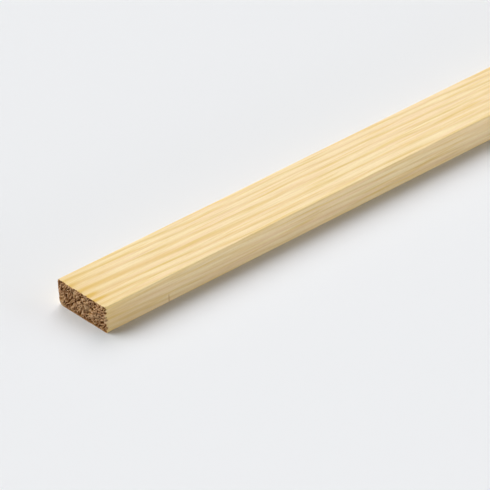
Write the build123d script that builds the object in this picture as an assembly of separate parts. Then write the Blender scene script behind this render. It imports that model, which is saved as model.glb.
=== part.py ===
from build123d import *
import os

# Planed softwood trim strip, lying flat on its back face.
# X runs along the strip, Y across it, and Z up out of the show face.
# The origin is the centre of the back face.

# Driving dimensions, in millimetres
strip_length = 1000.0
strip_width = 25.0
strip_thickness = 10.0
arris_radius = 0.4  # easing that the planer leaves on the four long edges


def make_section():
    """The planed cross-section, standing on the back face with its four corners eased."""
    with BuildSketch(Plane.YZ) as section:
        with Locations((0, strip_thickness / 2)):
            Rectangle(strip_width, strip_thickness)
        fillet(section.vertices(), radius=arris_radius)
    return section.sketch


def make_trim_strip():
    """The section run out to both sawn ends, which are cut square and left sharp."""
    return extrude(make_section(), amount=strip_length / 2, both=True)


os.makedirs("parts", exist_ok=True)
export_step(make_trim_strip(), "parts/trim_strip.step")
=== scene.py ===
import math
import zlib
from collections import namedtuple

import bpy
import numpy as np
from mathutils import Matrix, Vector, noise


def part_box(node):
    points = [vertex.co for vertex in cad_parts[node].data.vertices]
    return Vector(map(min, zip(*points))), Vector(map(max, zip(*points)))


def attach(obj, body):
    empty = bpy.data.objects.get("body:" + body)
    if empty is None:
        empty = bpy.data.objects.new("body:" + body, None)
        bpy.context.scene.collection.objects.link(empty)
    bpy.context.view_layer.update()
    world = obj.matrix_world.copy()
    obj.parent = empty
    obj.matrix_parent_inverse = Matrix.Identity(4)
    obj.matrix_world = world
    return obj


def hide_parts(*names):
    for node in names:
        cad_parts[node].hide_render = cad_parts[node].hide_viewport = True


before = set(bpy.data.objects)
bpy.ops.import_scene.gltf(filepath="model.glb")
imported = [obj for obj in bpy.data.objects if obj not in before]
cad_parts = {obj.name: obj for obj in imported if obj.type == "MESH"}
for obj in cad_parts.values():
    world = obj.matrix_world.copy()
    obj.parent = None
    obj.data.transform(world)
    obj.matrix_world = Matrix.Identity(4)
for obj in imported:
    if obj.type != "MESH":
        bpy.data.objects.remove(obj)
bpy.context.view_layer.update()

# A planed pine trim strip with sawn ends, lying flat on its back face.
# Points on it are (along, across, down): along from the end that faces the camera, across from
# the rear edge, and down from the show face.
# Lengths are in millimetres, apart from those of the camera and the floor, which are in metres.

# The strip, from the frame
MM = 0.001
STRIP_LOW, STRIP_HIGH = (np.array(corner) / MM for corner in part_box("trim_strip"))
LENGTH, WIDTH, THICKNESS = STRIP_HIGH - STRIP_LOW
ARRIS = 0.4  # radius of the four eased long edges

# Mesh: grid cells over an end, and stations along the strip
ARRIS_CELLS = 8
WIDTH_CELLS = 214
THICKNESS_CELLS = 76
FINE_REACH = 3.0  # every node of an end's outline goes this far
FINE_STATIONS = 12
FINE_CROWDING = 1.3  # power that crowds these stations towards the end
MEDIUM_REACH = 8.0  # every second node goes this far, and every fourth one the rest of the way
MEDIUM_STATIONS = 6
COARSE_SPACING = 7.0
SHARP_EDGE = math.radians(50)

# Texture map, from 0 to 1 each way: the long faces lie in rows, and the ends to the right of them
MAP_ROWS = 4
MAP_MARGIN = 0.005
MAP_ROW_LENGTH = 0.85
END_MAP_LEFT = 0.87
END_MAP_LOW = 0.01
END_MAP_SIZE = 0.3
END_MAP_STEP = 0.32

# Course of the growth rings
RING_SPACING = 3.0  # between dark lines, across the show face
RING_TILT = 1.35  # the lines lie this many times closer together down the edge faces
RING_OFFSET = 2.72  # moves all the lines across the strip, in rings
FAST_GROWTH = 0.83  # rings lost to a run of wider ones, on each side of its middle
FAST_MIDDLE = 10.4  # where the widest ring lies, across the near end
FAST_REACH = 6.3
GRAIN_SLOPE = 0.059  # the lines move this far towards the front edge for each millimetre along
GRAIN_STRAIGHT = 440.0  # the slope dies out over about this length
GRAIN_WAVES = ((0.61, 173.0, 22.6), (-0.13, 38.7, 9.6))  # height, length and start of each wave
RING_WANDER = 0.45  # how far a line strays from that course
RING_WANDER_PATCH = (24, 6, 6)
FAR_WANDER = 3.0  # how much further it strays along the rest of the strip
FAR_WANDER_PATCH = (190, 60, 60)
FAR_WANDER_START = 0.15  # shares of the length
FAR_WANDER_FULL = 0.4

# Shape and tone of a growth ring
RING_HOLLOW = 0.018  # soft wood between the lines lies this much lower
RING_START = 0.05  # shares of a ring: where it begins to darken, and where it is darkest
RING_PEAK = 0.70
RING_POWER = 2.0  # it darkens slowly at first
YEAR_STRENGTH = (0.7, 1.0)  # weakest and strongest year
EDGE_STRENGTH = 0.65  # the lines are this strong on the edge faces
END_RING_SHARE = 0.2  # and this strong on the sawn ends

# Wear of the long edges, and a painted highlight along them
EDGE_HIGHLIGHT_REACH = 0.6  # a painted highlight lightens them about this far in
EDGE_HIGHLIGHT_SHARE = 0.7
WEAR_DEPTH = 0.06
WEAR_PATCH = (14, 3, 3)
WEAR_NOISE = (0.1, 0.7)  # noise at which the wear starts and is full
WEAR_INSET = 1.0  # it is measured from lines this far inside the faces
WEAR_START = 0.9  # distances from those lines at which it starts and is full
WEAR_FULL = 1.2

# Amber tint of the long faces: one wide year near the cut
AMBER_YEAR = 1.0  # its ring number
AMBER_YEAR_WIDTH = 0.3  # in rings
AMBER_YEAR_SHARE = 0.35
AMBER_YEAR_START = (-5, 12)  # it fades in and out over these lengths
AMBER_YEAR_STOP = (45, 85)

# Amber tint beside the sawn ends
END_LINE_SHARE = 0.6  # on the dark lines
END_LINE_REACH = 8.0
END_LINE_PATCH = (9, 3, 3)
END_LINE_NOISE = (-0.5, 0.4)
END_TINTS = ((0.25, 9.0), (0.10, 25.0))  # share and reach of the tints all over
RESIN_SPOTS = ((1.5, 15.4), (2.0, 19.3))  # along and across the show face
RESIN_SHARE = 0.9
RESIN_LENGTH = 3.2
RESIN_WIDTH = 0.65
DULL_REACH = 55.0  # the edge faces are duller towards the ends
DULL_SHARE = 0.27

# Sawn ends: torn fibres stand up in curled strands, with hollows between them; the hollows are
# painted dark and the strands pale, partly as painted shade and painted highlight
SAW_WAVE = 0.10
SAW_WAVE_PATCH = (5, 4, 1)
SAW_LEAN = 0.10  # the cut is this far out of square, with the bottom edge further in
STRAND_ANGLE_REAR = math.radians(70)  # slope of the strands, up towards the front edge
STRAND_ANGLE_FRONT = math.radians(45)
STRAND_PATCH = (1.8, 0.66, 1)  # length and width of the patches of tearing noise
STRAND_CURL = 0.5
STRAND_CURL_PATCH = (2, 2, 1)
STRAND_EDGE = 0.15  # strands lie where the tearing noise is nearest to zero
STRAND_HEIGHT = 0.14
HOLLOW_EDGE = 0.13  # and hollows where it is further than this
HOLLOW_FLOOR = 0.40
HOLLOW_DEPTH = 0.42

# How rough the tearing is
ROUGH_LEVEL = 1.1
ROUGH_CHANGE = 0.5
ROUGH_PATCH = (3, 3, 1)
PALE_SMOOTH = 0.5  # pale wood is this much smoother
REAR_SMOOTH = 0.5  # and so is the rear edge, where the saw left it cleaner
REAR_REACH = 1.6
RIM_SMOOTH = 0.7  # fibres along the top and rear edges nearly lie flat
RIM_REACH = 0.3
BOTTOM_REACH = 0.6  # and those along the bottom edge do

# Pale wood on the sawn ends
PALE_SPOTS = (  # across, down and radius
    (14.6, 4.8, 1.3),
    (15.0, 1.4, 1.0),
    (20.3, 6.0, 0.9),
    (24.6, 5.2, 1.3),
    (1.2, 9.4, 1.3),
)
PALE_SHARE = 0.6  # how much of its colour shows
PALE_SPOT_SHARE = 0.75
PALE_RAGGED = 0.8  # how uneven the rims of the spots are
PALE_RAGGED_PATCH = (0.8, 0.8, 1)
PALE_CLOUD_SHARE = 0.3
PALE_CLOUD_PATCH = (4, 3, 1)
PALE_CLOUD_NOISE = (0.05, 0.5)

# Broken rims of the sawn ends
CHIP = (0.0, 10.0, 1.1, 0.40)  # broken corner: across, down, radius and depth
CRUMBLE = 0.16  # depth
CRUMBLE_FRONT = 0.45  # depth along the front edge
CRUMBLE_REACH = 0.35
CRUMBLE_FRONT_REACH = 0.7
CRUMBLE_PATCH = (0.9, 0.9, 1)
CRUMBLE_NOISE = (-0.1, 0.6)
END_FADE = 4.0  # the long faces stretch over this length to meet the torn rim
NIBBLE_SPACING = 1.1  # torn hollows that run over on to the long faces
NIBBLE_SIZE = 0.5  # shares of the spacing: the largest radius, and the width of the slopes
NIBBLE_SLOPE = 0.14
NIBBLE_REACH = 1.0
NIBBLE_REACH_FRONT = 2.6
NIBBLE_DEPTH = 0.15
NIBBLE_START = 0.3  # they come to full depth this far from the end
NIBBLE_SHARE = 0.8  # how much of their dark colour shows, partly darker end grain and partly painted shade

# Small score across the bottom of the front edge
SCORE_ALONG = 26.9
SCORE_HEIGHT = 2.8
SCORE_FADE = 0.4
SCORE_WIDTH = 0.2
SCORE_DEPTH = 0.06
SCORE_SHARE = 0.6  # how much of its colour shows
SCORE_STATIONS = (-4, -2, -1, 0, 1, 2, 4)  # where the mesh follows it, in score widths

# Grain in the materials: the patches' length and width, the noise's detail, and the range of
# noise that is turned into a range of shares
Grain = namedtuple("Grain", "length width detail noise_range share_range")
WOBBLE = Grain(18.0, 1.4, 3.0, (0.25, 0.75), (-0.14, 0.14))  # how far a line strays, in rings
BEADS = Grain(16.0, 1.6, 2.0, (0.3, 0.7), (0.65, 1.2))  # how strong it is
BLUSH = Grain(30.0, 1.2, 2.0, (0.4, 0.65), (0.0, 0.6))
AMBER = Grain(22.0, 0.8, 2.0, (0.52, 0.72), (0.0, 0.6))
FIBRE = Grain(20.0, 0.4, 3.0, (0.32, 0.52), (0.36, 0.0))
FLECK = Grain(1.2, 0.45, 2.0, (0.3, 0.7), (0.10, 0.0))
BLOTCH = Grain(2.5, 2.5, 2.0, (0.3, 0.7), (0.0, 1.0))
SPECKLE = Grain(0.4, 0.4, 2.0, (0.35, 0.7), (0.0, 0.3))

# Camera: the photograph is square, and its lens was found from the strip's corners and edges
FRAME_PX = 490
FOCAL_PX = 4179.0
CAMERA_ELEVATION = math.radians(32.22)
CAMERA_TURN = math.radians(38.91)
CAMERA_ROLL = math.radians(-3.34)
CORNER_PX = (58.49, 278.34)  # rear top corner of the cut
CUT_SETBACK = 0.65  # that corner is taken this far inside the end, in millimetres
CORNER_DEPTH = 1.3838  # from the camera, along its axis
SENSOR_WIDTH = 36.0  # millimetres
CAMERA_REACH = 200.0

# Floor and backdrop
FLOOR_HALF = 40.0
FLOOR_GAP = 0.00002
FLOOR_COLOUR = (0.872, 0.868, 0.872, 1.0)
BACKDROP_COLOUR = (0.985, 0.99, 1.0, 1.0)
BACKDROP_STRENGTH = 0.85

# Lamps: angles are in degrees, and each lamp turns from straight behind the strip to its near end
Lamp = namedtuple("Lamp", "strength colour spread height turn")
LAMPS = {
    "key": Lamp(0.56, (1.0, 0.97, 0.99), 50, 45, -45),
    "near": Lamp(0.735, (0.96, 1.0, 1.0), 50, 45, 30),
    "front": Lamp(0.386, (0.94, 0.92, 1.0), 18, 4, 200),
    "far": Lamp(0.255, (0.79, 0.92, 1.0), 50, 12, -130),
}

SawnEnd = namedtuple("SawnEnd", "depth hollow strand pale")
Loop = namedtuple("Loop", "distance step nodes")


# Numbers and noise

def srgb(red, green, blue):
    """A colour given as 0 to 255 on screen, as the linear values that shaders use."""
    shares = np.array([red, green, blue]) / 255
    linear = np.where(shares <= 0.04045, shares / 12.92, ((shares + 0.055) / 1.055) ** 2.4)
    return (*linear, 1.0)


def smooth_step(low, high, values):
    """Zero below low, one above high, and a smooth rise between them."""
    share = np.clip((values - low) / (high - low), 0, 1)
    return share * share * (3 - 2 * share)


def patch_points(points, patch, field):
    """Points in shares of a patch, moved to a place of their own for each named field of noise."""
    place = zlib.crc32(field.encode()) % 97
    return points / np.array(patch) + np.array([17.31, 5.97, 11.13]) * place


def noise_at(points, patch, field):
    """Smooth noise of about -1 to 1 at each point, in patches of a size along each axis."""
    return np.array([noise.noise(Vector(point)) for point in patch_points(points, patch, field)])


def spot_distance(points, patch, field):
    """Distance from each point to the nearest of many scattered spots, one or so in each patch."""
    places = patch_points(points, patch, field)
    return np.array([noise.voronoi(Vector(place))[0][0] for place in places])


def from_nearest_end(along):
    """Distances to the nearer end of the strip."""
    return np.minimum(along, LENGTH - along)


# Growth rings

def ring_phase(points):
    """Growth rings counted across the strip; a dark line lies at each whole number."""
    along, across, down = points.T
    slope = GRAIN_SLOPE * GRAIN_STRAIGHT * np.tanh(along / GRAIN_STRAIGHT)
    place = across + RING_TILT * down - slope
    for height, length, start in GRAIN_WAVES:
        place = place - height * np.sin(2 * math.pi * (along - start) / length)
    place = place + RING_WANDER * noise_at(points, RING_WANDER_PATCH, "ring wander")
    far = smooth_step(LENGTH * FAR_WANDER_START, LENGTH * FAR_WANDER_FULL, along)
    place = place + FAR_WANDER * far * noise_at(points, FAR_WANDER_PATCH, "far wander")
    fast = FAST_GROWTH * np.tanh((place - FAST_MIDDLE) / FAST_REACH)
    return place / RING_SPACING - fast - RING_OFFSET


def latewood(phase):
    """How far each point lies inside a dark line, from 0 to 1."""
    return 0.5 + 0.5 * np.cos(2 * math.pi * phase)


# Section of the strip

def grid_lines(size, face_cells):
    """Lines across one face of an end: close together over the eased edges, even between them."""
    edge = np.linspace(0, ARRIS, ARRIS_CELLS + 1)
    face = np.linspace(ARRIS, size - ARRIS, face_cells + 1)
    return np.concatenate([edge[:-1], face, (size - edge[:-1])[::-1]])


def section_grid():
    """Grid points over the section as rows of (across, down), with the corners eased."""
    lines_across = grid_lines(WIDTH, WIDTH_CELLS)
    lines_down = grid_lines(THICKNESS, THICKNESS_CELLS)
    across, down = np.meshgrid(lines_across, lines_down, indexing="ij")
    past_across = across - np.clip(across, ARRIS, WIDTH - ARRIS)
    past_down = down - np.clip(down, ARRIS, THICKNESS - ARRIS)
    reach = np.hypot(past_across, past_down)
    square_reach = np.maximum(abs(past_across), abs(past_down))
    draw_in = 1 - np.divide(square_reach, reach, out=np.ones_like(reach), where=reach > 0)
    return np.stack([across - past_across * draw_in, down - past_down * draw_in], axis=-1)


def outline_indexes(rows, columns):
    """Indexes of the grid's outer points: show face, front edge, back face, then rear edge."""
    index = np.arange(rows * columns).reshape(rows, columns)
    return np.concatenate([index[:-1, 0], index[-1, :-1], index[:0:-1, -1], index[0, :0:-1]])


def outline_normals(outline):
    """Outward directions (across, down) at the points of the outline."""
    past = outline - np.clip(outline, ARRIS, (WIDTH - ARRIS, THICKNESS - ARRIS))
    return past / np.linalg.norm(past, axis=1, keepdims=True)


# Shape of the sawn ends

def torn_fibres(flat, end):
    """Shares of hollow and of raised strand over an end, in slanting curled lanes; the materials
    paint the hollows dark, partly as painted shade, and the strands pale, partly as painted
    highlight.
    """
    curl_across = noise_at(flat, STRAND_CURL_PATCH, end + " curl across")
    curl_down = noise_at(flat, STRAND_CURL_PATCH, end + " curl down")
    across = flat[:, 0] + STRAND_CURL * curl_across
    down = flat[:, 1] + STRAND_CURL * curl_down
    angle = STRAND_ANGLE_REAR + (STRAND_ANGLE_FRONT - STRAND_ANGLE_REAR) * across / WIDTH
    lanes = np.column_stack([
        across * np.cos(angle) - down * np.sin(angle),
        across * np.sin(angle) + down * np.cos(angle),
        np.zeros(len(flat)),
    ])
    tear = abs(noise_at(lanes, STRAND_PATCH, end + " tear"))
    hollow = smooth_step(HOLLOW_EDGE, HOLLOW_FLOOR, tear)
    strand = 1 - smooth_step(0, STRAND_EDGE, tear)
    return hollow, strand


def pale_wood(flat, end):
    """Shares of pale wood over an end: faint clouds, and a few ragged spots."""
    across, down = flat[:, 0], flat[:, 1]
    cloud = smooth_step(*PALE_CLOUD_NOISE, noise_at(flat, PALE_CLOUD_PATCH, end + " pale"))
    pale = PALE_CLOUD_SHARE * cloud
    ragged = 1 + PALE_RAGGED * noise_at(flat, PALE_RAGGED_PATCH, end + " ragged")
    for spot_across, spot_down, radius in PALE_SPOTS:
        distance = np.hypot(across - spot_across, down - spot_down)
        spot = PALE_SPOT_SHARE * np.exp(-(ragged * distance / radius) ** 2)
        pale = np.maximum(pale, spot)
    return pale


def roughness(flat, pale, end):
    """How rough the tearing is over an end, from 0 to 1."""
    across, down = flat[:, 0], flat[:, 1]
    to_bottom = THICKNESS - down
    rough = ROUGH_LEVEL + ROUGH_CHANGE * noise_at(flat, ROUGH_PATCH, end + " rough")
    rough = rough * (1 - PALE_SMOOTH * pale)
    rough = rough * (1 - REAR_SMOOTH * np.exp(-(across / REAR_REACH) ** 2))
    rough = np.clip(rough, 0, 1) * (1 - np.exp(-to_bottom / BOTTOM_REACH))
    return rough * (1 - RIM_SMOOTH * np.exp(-np.minimum(across, down) / RIM_REACH))


def broken_rim(flat, end):
    """How deep the rim of an end is broken: one chipped corner, and crumbled edges."""
    across, down = flat[:, 0], flat[:, 1]
    to_front = WIDTH - across
    to_bottom = THICKNESS - down
    to_edge = np.minimum(np.minimum(across, to_front), np.minimum(down, to_bottom))
    chip_across, chip_down, chip_radius, chip_depth = CHIP
    chip_distance = np.hypot(across - chip_across, down - chip_down)
    chip = chip_depth * np.exp(-(chip_distance / chip_radius) ** 2)
    crumble = smooth_step(*CRUMBLE_NOISE, noise_at(flat, CRUMBLE_PATCH, end + " crumble"))
    front_share = np.exp(-to_front / CRUMBLE_FRONT_REACH)
    crumble = crumble * (CRUMBLE + (CRUMBLE_FRONT - CRUMBLE) * front_share)
    crumble = crumble * np.exp(-to_edge / CRUMBLE_REACH) * (1 - np.exp(-to_bottom / BOTTOM_REACH))
    return chip + crumble


def sawn_end(section, end):
    """A sawn end: depth in from its plane, and shares of hollow, strand and pale wood."""
    flat = np.column_stack([section, np.zeros(len(section))])
    pale = pale_wood(flat, end)
    rough = roughness(flat, pale, end)
    hollow, strand = (share * rough for share in torn_fibres(flat, end))
    depth = HOLLOW_DEPTH * hollow - STRAND_HEIGHT * strand + broken_rim(flat, end)
    depth = depth + SAW_WAVE * noise_at(flat, SAW_WAVE_PATCH, end + " wave")
    depth = depth + SAW_LEAN * section[:, 1] / THICKNESS
    return SawnEnd(depth - depth.min(), hollow, strand, pale)


# Shape of the long faces

def nibbles(points):
    """Where torn hollows run over from the sawn ends on to the long faces, from 0 to 1."""
    along, across = points[:, 0], points[:, 1]
    on_front = smooth_step(WIDTH - 2 * ARRIS, WIDTH - ARRIS, across)
    reach = NIBBLE_REACH + (NIBBLE_REACH_FRONT - NIBBLE_REACH) * on_front
    size = NIBBLE_SIZE * np.clip(1 - from_nearest_end(along) / reach, 0, 1)
    spot = spot_distance(points, (NIBBLE_SPACING,) * 3, "nibbles")
    return smooth_step(0, NIBBLE_SLOPE, size - spot)


def score_mark(points):
    """Where the score on the front edge is, from 0 to 1."""
    along, across, down = points.T
    line = np.exp(-((along - SCORE_ALONG) / SCORE_WIDTH) ** 2)
    top = THICKNESS - SCORE_HEIGHT
    return line * smooth_step(top - SCORE_FADE, top, down) * (across > WIDTH - ARRIS)


def edge_wear(points):
    """How deep the long edges are worn, in patches."""
    across, down = points[:, 1], points[:, 2]
    past_across = across - np.clip(across, WEAR_INSET, WIDTH - WEAR_INSET)
    past_down = down - np.clip(down, WEAR_INSET, THICKNESS - WEAR_INSET)
    on_edge = smooth_step(WEAR_START, WEAR_FULL, np.hypot(past_across, past_down))
    return WEAR_DEPTH * on_edge * smooth_step(*WEAR_NOISE, noise_at(points, WEAR_PATCH, "wear"))


def face_relief(points):
    """How far a point of the long faces lies under the planed surface."""
    from_end = from_nearest_end(points[:, 0])
    hollow = RING_HOLLOW * (1 - latewood(ring_phase(points)))
    planed = (hollow + edge_wear(points)) * smooth_step(0, FINE_REACH, from_end)
    torn = NIBBLE_DEPTH * nibbles(points) * smooth_step(0, NIBBLE_START, from_end)
    return planed + torn + SCORE_DEPTH * score_mark(points)


# Tones of the long faces

def amber_stain(points):
    """How far the long faces are amber: one wide year, and the wood beside the sawn ends."""
    along, across, down = points.T
    from_end = from_nearest_end(along)
    phase = ring_phase(points)
    year = np.exp(-((phase - AMBER_YEAR) / AMBER_YEAR_WIDTH) ** 2)
    year = year * smooth_step(*AMBER_YEAR_START, along) * (1 - smooth_step(*AMBER_YEAR_STOP, along))
    patchy = smooth_step(*END_LINE_NOISE, noise_at(points, END_LINE_PATCH, "end stain"))
    end_lines = np.exp(-from_end / END_LINE_REACH) * latewood(phase) * patchy
    stain = AMBER_YEAR_SHARE * year + END_LINE_SHARE * end_lines
    for share, reach in END_TINTS:
        stain = stain + share * np.exp(-from_end / reach)
    for spot_along, spot_across in RESIN_SPOTS:
        shares_along = (along - spot_along) / RESIN_LENGTH
        shares_across = (across - spot_across) / RESIN_WIDTH
        spot = np.exp(-np.hypot(shares_along, shares_across) ** 2)
        stain = stain + RESIN_SHARE * spot * (down < ARRIS)
    return np.clip(stain, 0, 1)


def painted_edge_highlight(points):
    """How far the painted highlight along the long edges shows, from 0 to 1."""
    across, down = points[:, 1], points[:, 2]
    to_side = np.minimum(across, WIDTH - across)
    to_face = np.minimum(down, THICKNESS - down)
    return np.exp(-np.hypot(to_side, to_face) / EDGE_HIGHLIGHT_REACH)


def edge_share(points):
    """How far a point lies on the two narrow edge faces, from 0 to 1."""
    from_middle = abs(points[:, 1] - WIDTH / 2)
    return smooth_step(WIDTH / 2 - ARRIS, WIDTH / 2 - ARRIS / 4, from_middle)


def dulled(points):
    """How far the edge faces are dulled, from 0 to 1: most beside the sawn ends."""
    return edge_share(points) * np.exp(-from_nearest_end(points[:, 0]) / DULL_REACH)


# Mesh of the strip

def stations():
    """Distances along the strip and the step between outline nodes there, without the two ends."""
    fine = FINE_REACH * np.linspace(0, 1, FINE_STATIONS + 1)[1:] ** FINE_CROWDING
    medium = np.linspace(FINE_REACH, MEDIUM_REACH, MEDIUM_STATIONS + 1)[1:]
    row_ends = np.linspace(0, LENGTH, MAP_ROWS + 1)
    row_ends[0] = MEDIUM_REACH
    row_ends[-1] = LENGTH - MEDIUM_REACH
    coarse = set(SCORE_ALONG + SCORE_WIDTH * np.array(SCORE_STATIONS))
    for start, stop in zip(row_ends[:-1], row_ends[1:]):
        coarse.update(np.linspace(start, stop, round((stop - start) / COARSE_SPACING) + 1))
    near = [(distance, 1) for distance in fine] + [(distance, 2) for distance in medium[:-1]]
    far = [(LENGTH - distance, step) for distance, step in reversed(near)]
    return near + [(distance, 4) for distance in sorted(coarse)] + far


def strip_points(section, rim, near, far):
    """All points of the mesh, the two ends first, and the loops round the strip in order."""
    outline = section[rim]
    normals = outline_normals(outline)
    points = [
        np.column_stack([near.depth, section]),
        np.column_stack([LENGTH - far.depth, section]),
    ]
    loops = [Loop(0.0, 1, rim)]
    total = 2 * len(section)
    for distance, step in stations():
        planed = np.column_stack([np.full(len(outline), distance), outline])[::step]
        near_share = max(0, 1 - distance / END_FADE)
        far_share = max(0, 1 - (LENGTH - distance) / END_FADE)
        moved = planed.copy()
        moved[:, 0] += near.depth[rim][::step] * near_share - far.depth[rim][::step] * far_share
        moved[:, 1:] -= normals[::step] * face_relief(planed)[:, None]
        points.append(moved)
        loops.append(Loop(distance, step, total + np.arange(len(moved))))
        total += len(moved)
    loops.append(Loop(LENGTH, 1, rim + len(section)))
    return np.concatenate(points), loops


def band_faces(first, second):
    """Faces between two loops of nodes, as pairs of (loop number, node number) for each corner."""
    a, b = len(first), len(second)
    if a == b:
        return [[(0, k), (0, k + 1), (1, k + 1), (1, k)] for k in range(a)]
    faces = []
    for k in range(min(a, b)):
        if a > b:
            faces.append([(0, 2 * k), (0, 2 * k + 1), (1, k)])
            faces.append([(0, 2 * k + 1), (1, k + 1), (1, k)])
            faces.append([(0, 2 * k + 1), (0, 2 * k + 2), (1, k + 1)])
        else:
            faces.append([(0, k), (1, 2 * k + 1), (1, 2 * k)])
            faces.append([(0, k), (0, k + 1), (1, 2 * k + 1)])
            faces.append([(0, k + 1), (1, 2 * k + 2), (1, 2 * k + 1)])
    return faces


def long_map(along, girth, row):
    """Place on the texture map of a point on the long faces."""
    row_length = LENGTH / MAP_ROWS
    scale = MAP_ROW_LENGTH / row_length
    left = MAP_MARGIN + (along - row * row_length) * scale
    low = MAP_MARGIN + row / MAP_ROWS + girth * scale
    return (left, low)


def end_map(place, end):
    """Place on the texture map of a point (across, down) on an end."""
    across, down = place
    scale = END_MAP_SIZE / WIDTH
    return (END_MAP_LEFT + down * scale, END_MAP_LOW + end * END_MAP_STEP + across * scale)


def end_faces(section, grid_shape):
    """Faces over both ends, and the place of each of their corners on the texture map."""
    index = np.arange(len(section)).reshape(grid_shape)
    corners = [index[:-1, :-1], index[:-1, 1:], index[1:, 1:], index[1:, :-1]]
    quads = np.stack(corners, axis=-1).reshape(-1, 4)
    faces, places = [], []
    for end in (0, 1):
        for quad in quads:
            outward = quad if end == 0 else quad[::-1]
            faces.append([int(node) + end * len(section) for node in outward])
            places.extend(end_map(section[node], end) for node in outward)
    return faces, places


def long_faces(loops, outline):
    """Faces between the loops, and the place of each of their corners on the texture map."""
    steps = np.linalg.norm(np.diff(outline, axis=0, append=outline[:1]), axis=1)
    girth = np.concatenate([[0], np.cumsum(steps)])
    faces, places = [], []
    for pair in zip(loops[:-1], loops[1:]):
        middle = (pair[0].distance + pair[1].distance) / 2
        row = min(MAP_ROWS - 1, int(middle / (LENGTH / MAP_ROWS)))
        for face in band_faces(pair[0].nodes, pair[1].nodes):
            corners = []
            for number, node in face:
                loop = pair[number]
                corners.append(int(loop.nodes[node % len(loop.nodes)]))
                places.append(long_map(loop.distance, girth[node * loop.step], row))
            faces.append(corners)
    return faces, places


def surface_values(points, near, far):
    """Values at each point that the materials read."""
    long_points = points[len(near.depth) + len(far.depth):]
    none = np.zeros(len(long_points))
    return {
        "ring": ring_phase(points),
        "stain": amber_stain(points),
        "edge": edge_share(points),
        "dull": dulled(points),
        "painted_edge_highlight": painted_edge_highlight(points),
        "score": score_mark(points),
        "hollow": np.concatenate([near.hollow, far.hollow, nibbles(long_points)]),
        "strand": np.concatenate([near.strand, far.strand, none]),
        "pale": np.concatenate([near.pale, far.pale, none]),
    }


def build_strip():
    """The whole strip as one closed mesh, planed along its faces and sawn at its ends."""
    grid = section_grid()
    section = grid.reshape(-1, 2)
    rim = outline_indexes(*grid.shape[:2])
    near = sawn_end(section, "near")
    far = sawn_end(section, "far")
    points, loops = strip_points(section, rim, near, far)
    sawn_faces, sawn_places = end_faces(section, grid.shape[:2])
    planed_faces, planed_places = long_faces(loops, section[rim])

    mesh = bpy.data.meshes.new("pine_strip")
    in_frame = points * (1, -1, -1) + (STRIP_LOW[0], STRIP_HIGH[1], STRIP_HIGH[2])
    mesh.from_pydata((in_frame * MM).tolist(), [], sawn_faces + planed_faces)
    places = np.array(sawn_places + planed_places)
    mesh.uv_layers.new(name="OFBake").data.foreach_set("uv", places.ravel())
    for name, values in surface_values(points, near, far).items():
        mesh.attributes.new(name, "FLOAT", "POINT").data.foreach_set("value", values)
    mesh.materials.append(planed_pine())
    mesh.materials.append(sawn_pine())
    material_indexes = [1] * len(sawn_faces) + [0] * len(planed_faces)
    mesh.polygons.foreach_set("material_index", material_indexes)
    mesh.shade_smooth()
    mesh.set_sharp_from_angle(angle=SHARP_EDGE)
    mesh.validate()
    strip = bpy.data.objects.new("pine_strip", mesh)
    bpy.context.scene.collection.objects.link(strip)
    return strip


# Nodes of the materials

def new_material(name):
    """An empty node material, with its tree and its shader."""
    material = bpy.data.materials.new(name)
    material.use_nodes = True
    return material, material.node_tree, material.node_tree.nodes["Principled BSDF"]


def add_node(tree, kind, inputs=(), **settings):
    """A node with its settings; inputs are (socket, value or the socket that feeds it)."""
    node = tree.nodes.new(kind)
    for name, value in settings.items():
        setattr(node, name, value)
    for socket, value in inputs:
        if isinstance(value, bpy.types.NodeSocket):
            tree.links.new(value, node.inputs[socket])
        else:
            node.inputs[socket].default_value = value
    return node


def attribute(tree, name):
    """The value of a mesh attribute."""
    return add_node(tree, "ShaderNodeAttribute", attribute_name=name).outputs["Fac"]


def math_node(tree, operation, first, second=0.0):
    """One sum, product or other step of arithmetic."""
    inputs = [(0, first), (1, second)]
    return add_node(tree, "ShaderNodeMath", inputs, operation=operation).outputs[0]


def product(tree, first, *others):
    """Values multiplied together."""
    for other in others:
        first = math_node(tree, "MULTIPLY", first, other)
    return first


def spread(tree, value, old_range, new_range):
    """A value moved from one range to another, and kept inside it."""
    inputs = [
        ("Value", value),
        ("From Min", old_range[0]),
        ("From Max", old_range[1]),
        ("To Min", new_range[0]),
        ("To Max", new_range[1]),
    ]
    return add_node(tree, "ShaderNodeMapRange", inputs).outputs["Result"]


def paint(tree, base, layers):
    """Colours laid over a base, each by its own share; colours are as they look on screen."""
    colour = srgb(*base)
    for share, tint in layers:
        inputs = [(0, share), (6, colour), (7, srgb(*tint))]
        colour = add_node(tree, "ShaderNodeMix", inputs, data_type="RGBA").outputs[2]
    return colour


def grain_noise(tree, grain):
    """Noise from 0 to 1, in patches that lie along the strip."""
    place = add_node(tree, "ShaderNodeTexCoord").outputs["Object"]
    scale = [1 / (size * MM) for size in (grain.length, grain.width, grain.width)]
    mapping = add_node(tree, "ShaderNodeMapping", [("Vector", place), ("Scale", scale)])
    inputs = [("Vector", mapping.outputs["Vector"]), ("Scale", 1.0), ("Detail", grain.detail)]
    return add_node(tree, "ShaderNodeTexNoise", inputs).outputs["Fac"]


def grain_share(tree, grain):
    """The share that a kind of grain has at a point."""
    return spread(tree, grain_noise(tree, grain), grain.noise_range, grain.share_range)


def ring_profile(tree, rings):
    """How dark a growth ring is at a point, from 0 to 1: it darkens slowly and ends sharply."""
    share = math_node(tree, "FRACT", math_node(tree, "ADD", rings, RING_PEAK))
    rise = spread(tree, share, (RING_START, RING_PEAK), (0, 1))
    rise = math_node(tree, "POWER", rise, RING_POWER)
    fall = spread(tree, share, (RING_PEAK, 1), (1, 0))
    return product(tree, rise, fall)


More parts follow.
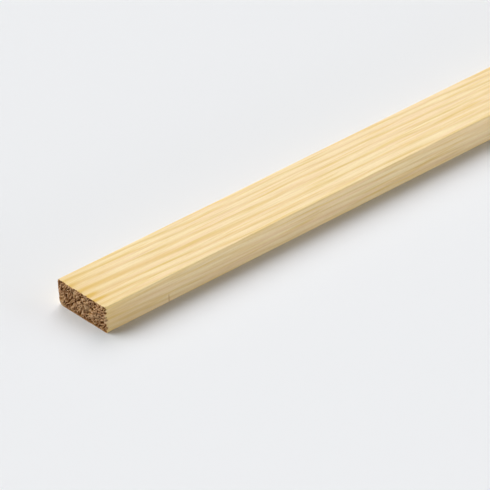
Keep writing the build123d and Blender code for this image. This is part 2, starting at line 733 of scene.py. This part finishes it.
def year_strength(tree, rings):
    """How strong each year's line is."""
    year = math_node(tree, "ROUND", rings)
    chance = add_node(tree, "ShaderNodeTexWhiteNoise", [("W", year)], noise_dimensions="1D")
    return spread(tree, chance.outputs["Value"], (0, 1), YEAR_STRENGTH)


def add_bump(tree, shader, height, strength, depth):
    """Fine relief that only the light shows, of a depth in millimetres."""
    inputs = [("Height", height), ("Strength", strength), ("Distance", depth * MM)]
    bump = add_node(tree, "ShaderNodeBump", inputs)
    tree.links.new(bump.outputs["Normal"], shader.inputs["Normal"])


# Materials

def planed_pine():
    """Pale planed pine: golden ring lines, pink and amber streaks, fine fibres, a dull surface."""
    material, tree, shader = new_material("planed_pine")
    rings = math_node(tree, "ADD", attribute(tree, "ring"), grain_share(tree, WOBBLE))
    profile = ring_profile(tree, rings)
    face_strength = spread(tree, attribute(tree, "edge"), (0, 1), (1, EDGE_STRENGTH))
    strength = year_strength(tree, rings)
    line = product(tree, profile, strength, grain_share(tree, BEADS), face_strength)
    fibre = grain_noise(tree, FIBRE)

    early_wood = (255, 233, 187)
    colour = paint(tree, early_wood, [
        (line, (226, 190, 106)),
        (grain_share(tree, BLUSH), (252, 220, 180)),
        (grain_share(tree, AMBER), (238, 202, 118)),
        (attribute(tree, "stain"), (226, 184, 88)),
        (spread(tree, fibre, FIBRE.noise_range, FIBRE.share_range), (216, 180, 112)),
        (grain_share(tree, FLECK), (200, 168, 112)),
        (product(tree, attribute(tree, "dull"), DULL_SHARE), (174, 156, 116)),
        # painted highlight: pale yellow along the long edges
        (product(tree, attribute(tree, "painted_edge_highlight"), EDGE_HIGHLIGHT_SHARE), (255, 226, 158)),
        (product(tree, attribute(tree, "score"), SCORE_SHARE), (176, 120, 72)),
        # dark torn hollows on the long faces: partly darker end grain, partly painted shade
        (product(tree, attribute(tree, "hollow"), NIBBLE_SHARE), (120, 80, 40)),
    ])
    tree.links.new(colour, shader.inputs["Base Color"])

    fibre_height = product(tree, fibre, 0.6)
    line_height = product(tree, profile, 0.3)
    height = math_node(tree, "ADD", fibre_height, line_height)
    add_bump(tree, shader, height, strength=0.25, depth=0.04)
    rough = spread(tree, fibre, (0.3, 0.7), (0.52, 0.68))
    tree.links.new(rough, shader.inputs["Roughness"])
    shader.inputs["Specular IOR Level"].default_value = 0.2
    return material


def sawn_pine():
    """Torn end grain: pale strands of fibre over brown hollows; the pale is partly paler fibre and
    partly painted highlight, and the brown partly darker end grain and partly painted shade.
    """
    material, tree, shader = new_material("sawn_pine")
    rings = ring_profile(tree, attribute(tree, "ring"))
    speckle = grain_noise(tree, SPECKLE)

    warm_brown = (206, 153, 114)
    colour = paint(tree, warm_brown, [
        (grain_share(tree, BLOTCH), (192, 141, 78)),
        (product(tree, rings, END_RING_SHARE), (168, 116, 66)),
        (spread(tree, speckle, SPECKLE.noise_range, SPECKLE.share_range), (150, 104, 60)),
        # pale strands: partly paler torn fibre, partly painted highlight on their crests
        (attribute(tree, "strand"), (240, 202, 160)),
        # dark brown hollows: partly darker end grain, partly painted shade in them
        (attribute(tree, "hollow"), (100, 60, 24)),
        (product(tree, attribute(tree, "pale"), PALE_SHARE), (240, 208, 164)),
    ])
    tree.links.new(colour, shader.inputs["Base Color"])

    add_bump(tree, shader, speckle, strength=0.5, depth=0.1)
    shader.inputs["Roughness"].default_value = 0.95
    shader.inputs["Specular IOR Level"].default_value = 0.05
    return material


# Stage

def add_floor():
    """A very wide pale floor just under the strip."""
    corners = [(-1, -1), (1, -1), (1, 1), (-1, 1)]
    points = [(x * FLOOR_HALF, y * FLOOR_HALF, -FLOOR_GAP) for x, y in corners]
    mesh = bpy.data.meshes.new("floor")
    mesh.from_pydata(points, [], [(0, 1, 2, 3)])
    material, _, shader = new_material("pale_floor")
    shader.inputs["Base Color"].default_value = FLOOR_COLOUR
    shader.inputs["Roughness"].default_value = 0.9
    shader.inputs["Specular IOR Level"].default_value = 0.1
    mesh.materials.append(material)
    floor = bpy.data.objects.new("floor", mesh)
    bpy.context.scene.collection.objects.link(floor)


def add_world():
    """A backdrop as pale as the floor, which is seen and reflected but lights nothing."""
    world = bpy.data.worlds.new("studio")
    bpy.context.scene.world = world
    world.use_nodes = True
    tree = world.node_tree
    rays = add_node(tree, "ShaderNodeLightPath").outputs
    seen = math_node(tree, "MAXIMUM", rays["Is Camera Ray"], rays["Is Glossy Ray"])
    seen = math_node(tree, "MAXIMUM", seen, rays["Is Transmission Ray"])
    background = tree.nodes["Background"]
    background.inputs["Color"].default_value = BACKDROP_COLOUR
    tree.links.new(product(tree, seen, BACKDROP_STRENGTH), background.inputs["Strength"])


def add_lamps():
    """Two broad lamps above and behind, a low one in front and a broad low one past the far end."""
    for name, lamp in LAMPS.items():
        height = math.radians(lamp.height)
        turn = math.radians(lamp.turn)
        level = math.cos(height)
        towards = Vector((-level * math.sin(turn), level * math.cos(turn), math.sin(height)))
        data = bpy.data.lights.new(name, "SUN")
        data.energy = lamp.strength * math.pi  # at pi, a face square to it looks as written
        data.color = lamp.colour
        data.angle = math.radians(lamp.spread)
        sun = bpy.data.objects.new(name, data)
        sun.rotation_mode = "QUATERNION"
        sun.rotation_quaternion = towards.to_track_quat("Z", "Y")
        bpy.context.scene.collection.objects.link(sun)


def add_camera():
    """A camera at the photograph's viewing angle, with the strip's corner on its pixel."""
    level = Vector((math.sin(CAMERA_TURN), math.cos(CAMERA_TURN), 0))
    side = Vector((math.cos(CAMERA_TURN), -math.sin(CAMERA_TURN), 0))
    rise = Vector((0, 0, 1))
    ahead = level * math.cos(CAMERA_ELEVATION) - rise * math.sin(CAMERA_ELEVATION)
    above = level * math.sin(CAMERA_ELEVATION) + rise * math.cos(CAMERA_ELEVATION)
    right = side * math.cos(CAMERA_ROLL) + above * math.sin(CAMERA_ROLL)
    up = above * math.cos(CAMERA_ROLL) - side * math.sin(CAMERA_ROLL)
    corner = Vector((STRIP_LOW[0] + CUT_SETBACK, STRIP_HIGH[1], STRIP_HIGH[2])) * MM
    right_share = (CORNER_PX[0] - FRAME_PX / 2) / FOCAL_PX
    down_share = (CORNER_PX[1] - FRAME_PX / 2) / FOCAL_PX
    place = corner - CORNER_DEPTH * (ahead + right * right_share - up * down_share)
    turned = Matrix((right, up, -ahead)).transposed().to_4x4()

    data = bpy.data.cameras.new("camera")
    data.sensor_width = SENSOR_WIDTH
    data.lens = SENSOR_WIDTH * FOCAL_PX / FRAME_PX
    data.clip_end = CAMERA_REACH
    camera = bpy.data.objects.new("camera", data)
    camera.matrix_world = Matrix.Translation(place) @ turned
    bpy.context.scene.collection.objects.link(camera)
    bpy.context.scene.camera = camera


strip = build_strip()
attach(strip, "root")
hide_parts("trim_strip")
add_floor()
add_world()
add_lamps()
add_camera()
bpy.context.scene.view_settings.view_transform = "Standard"
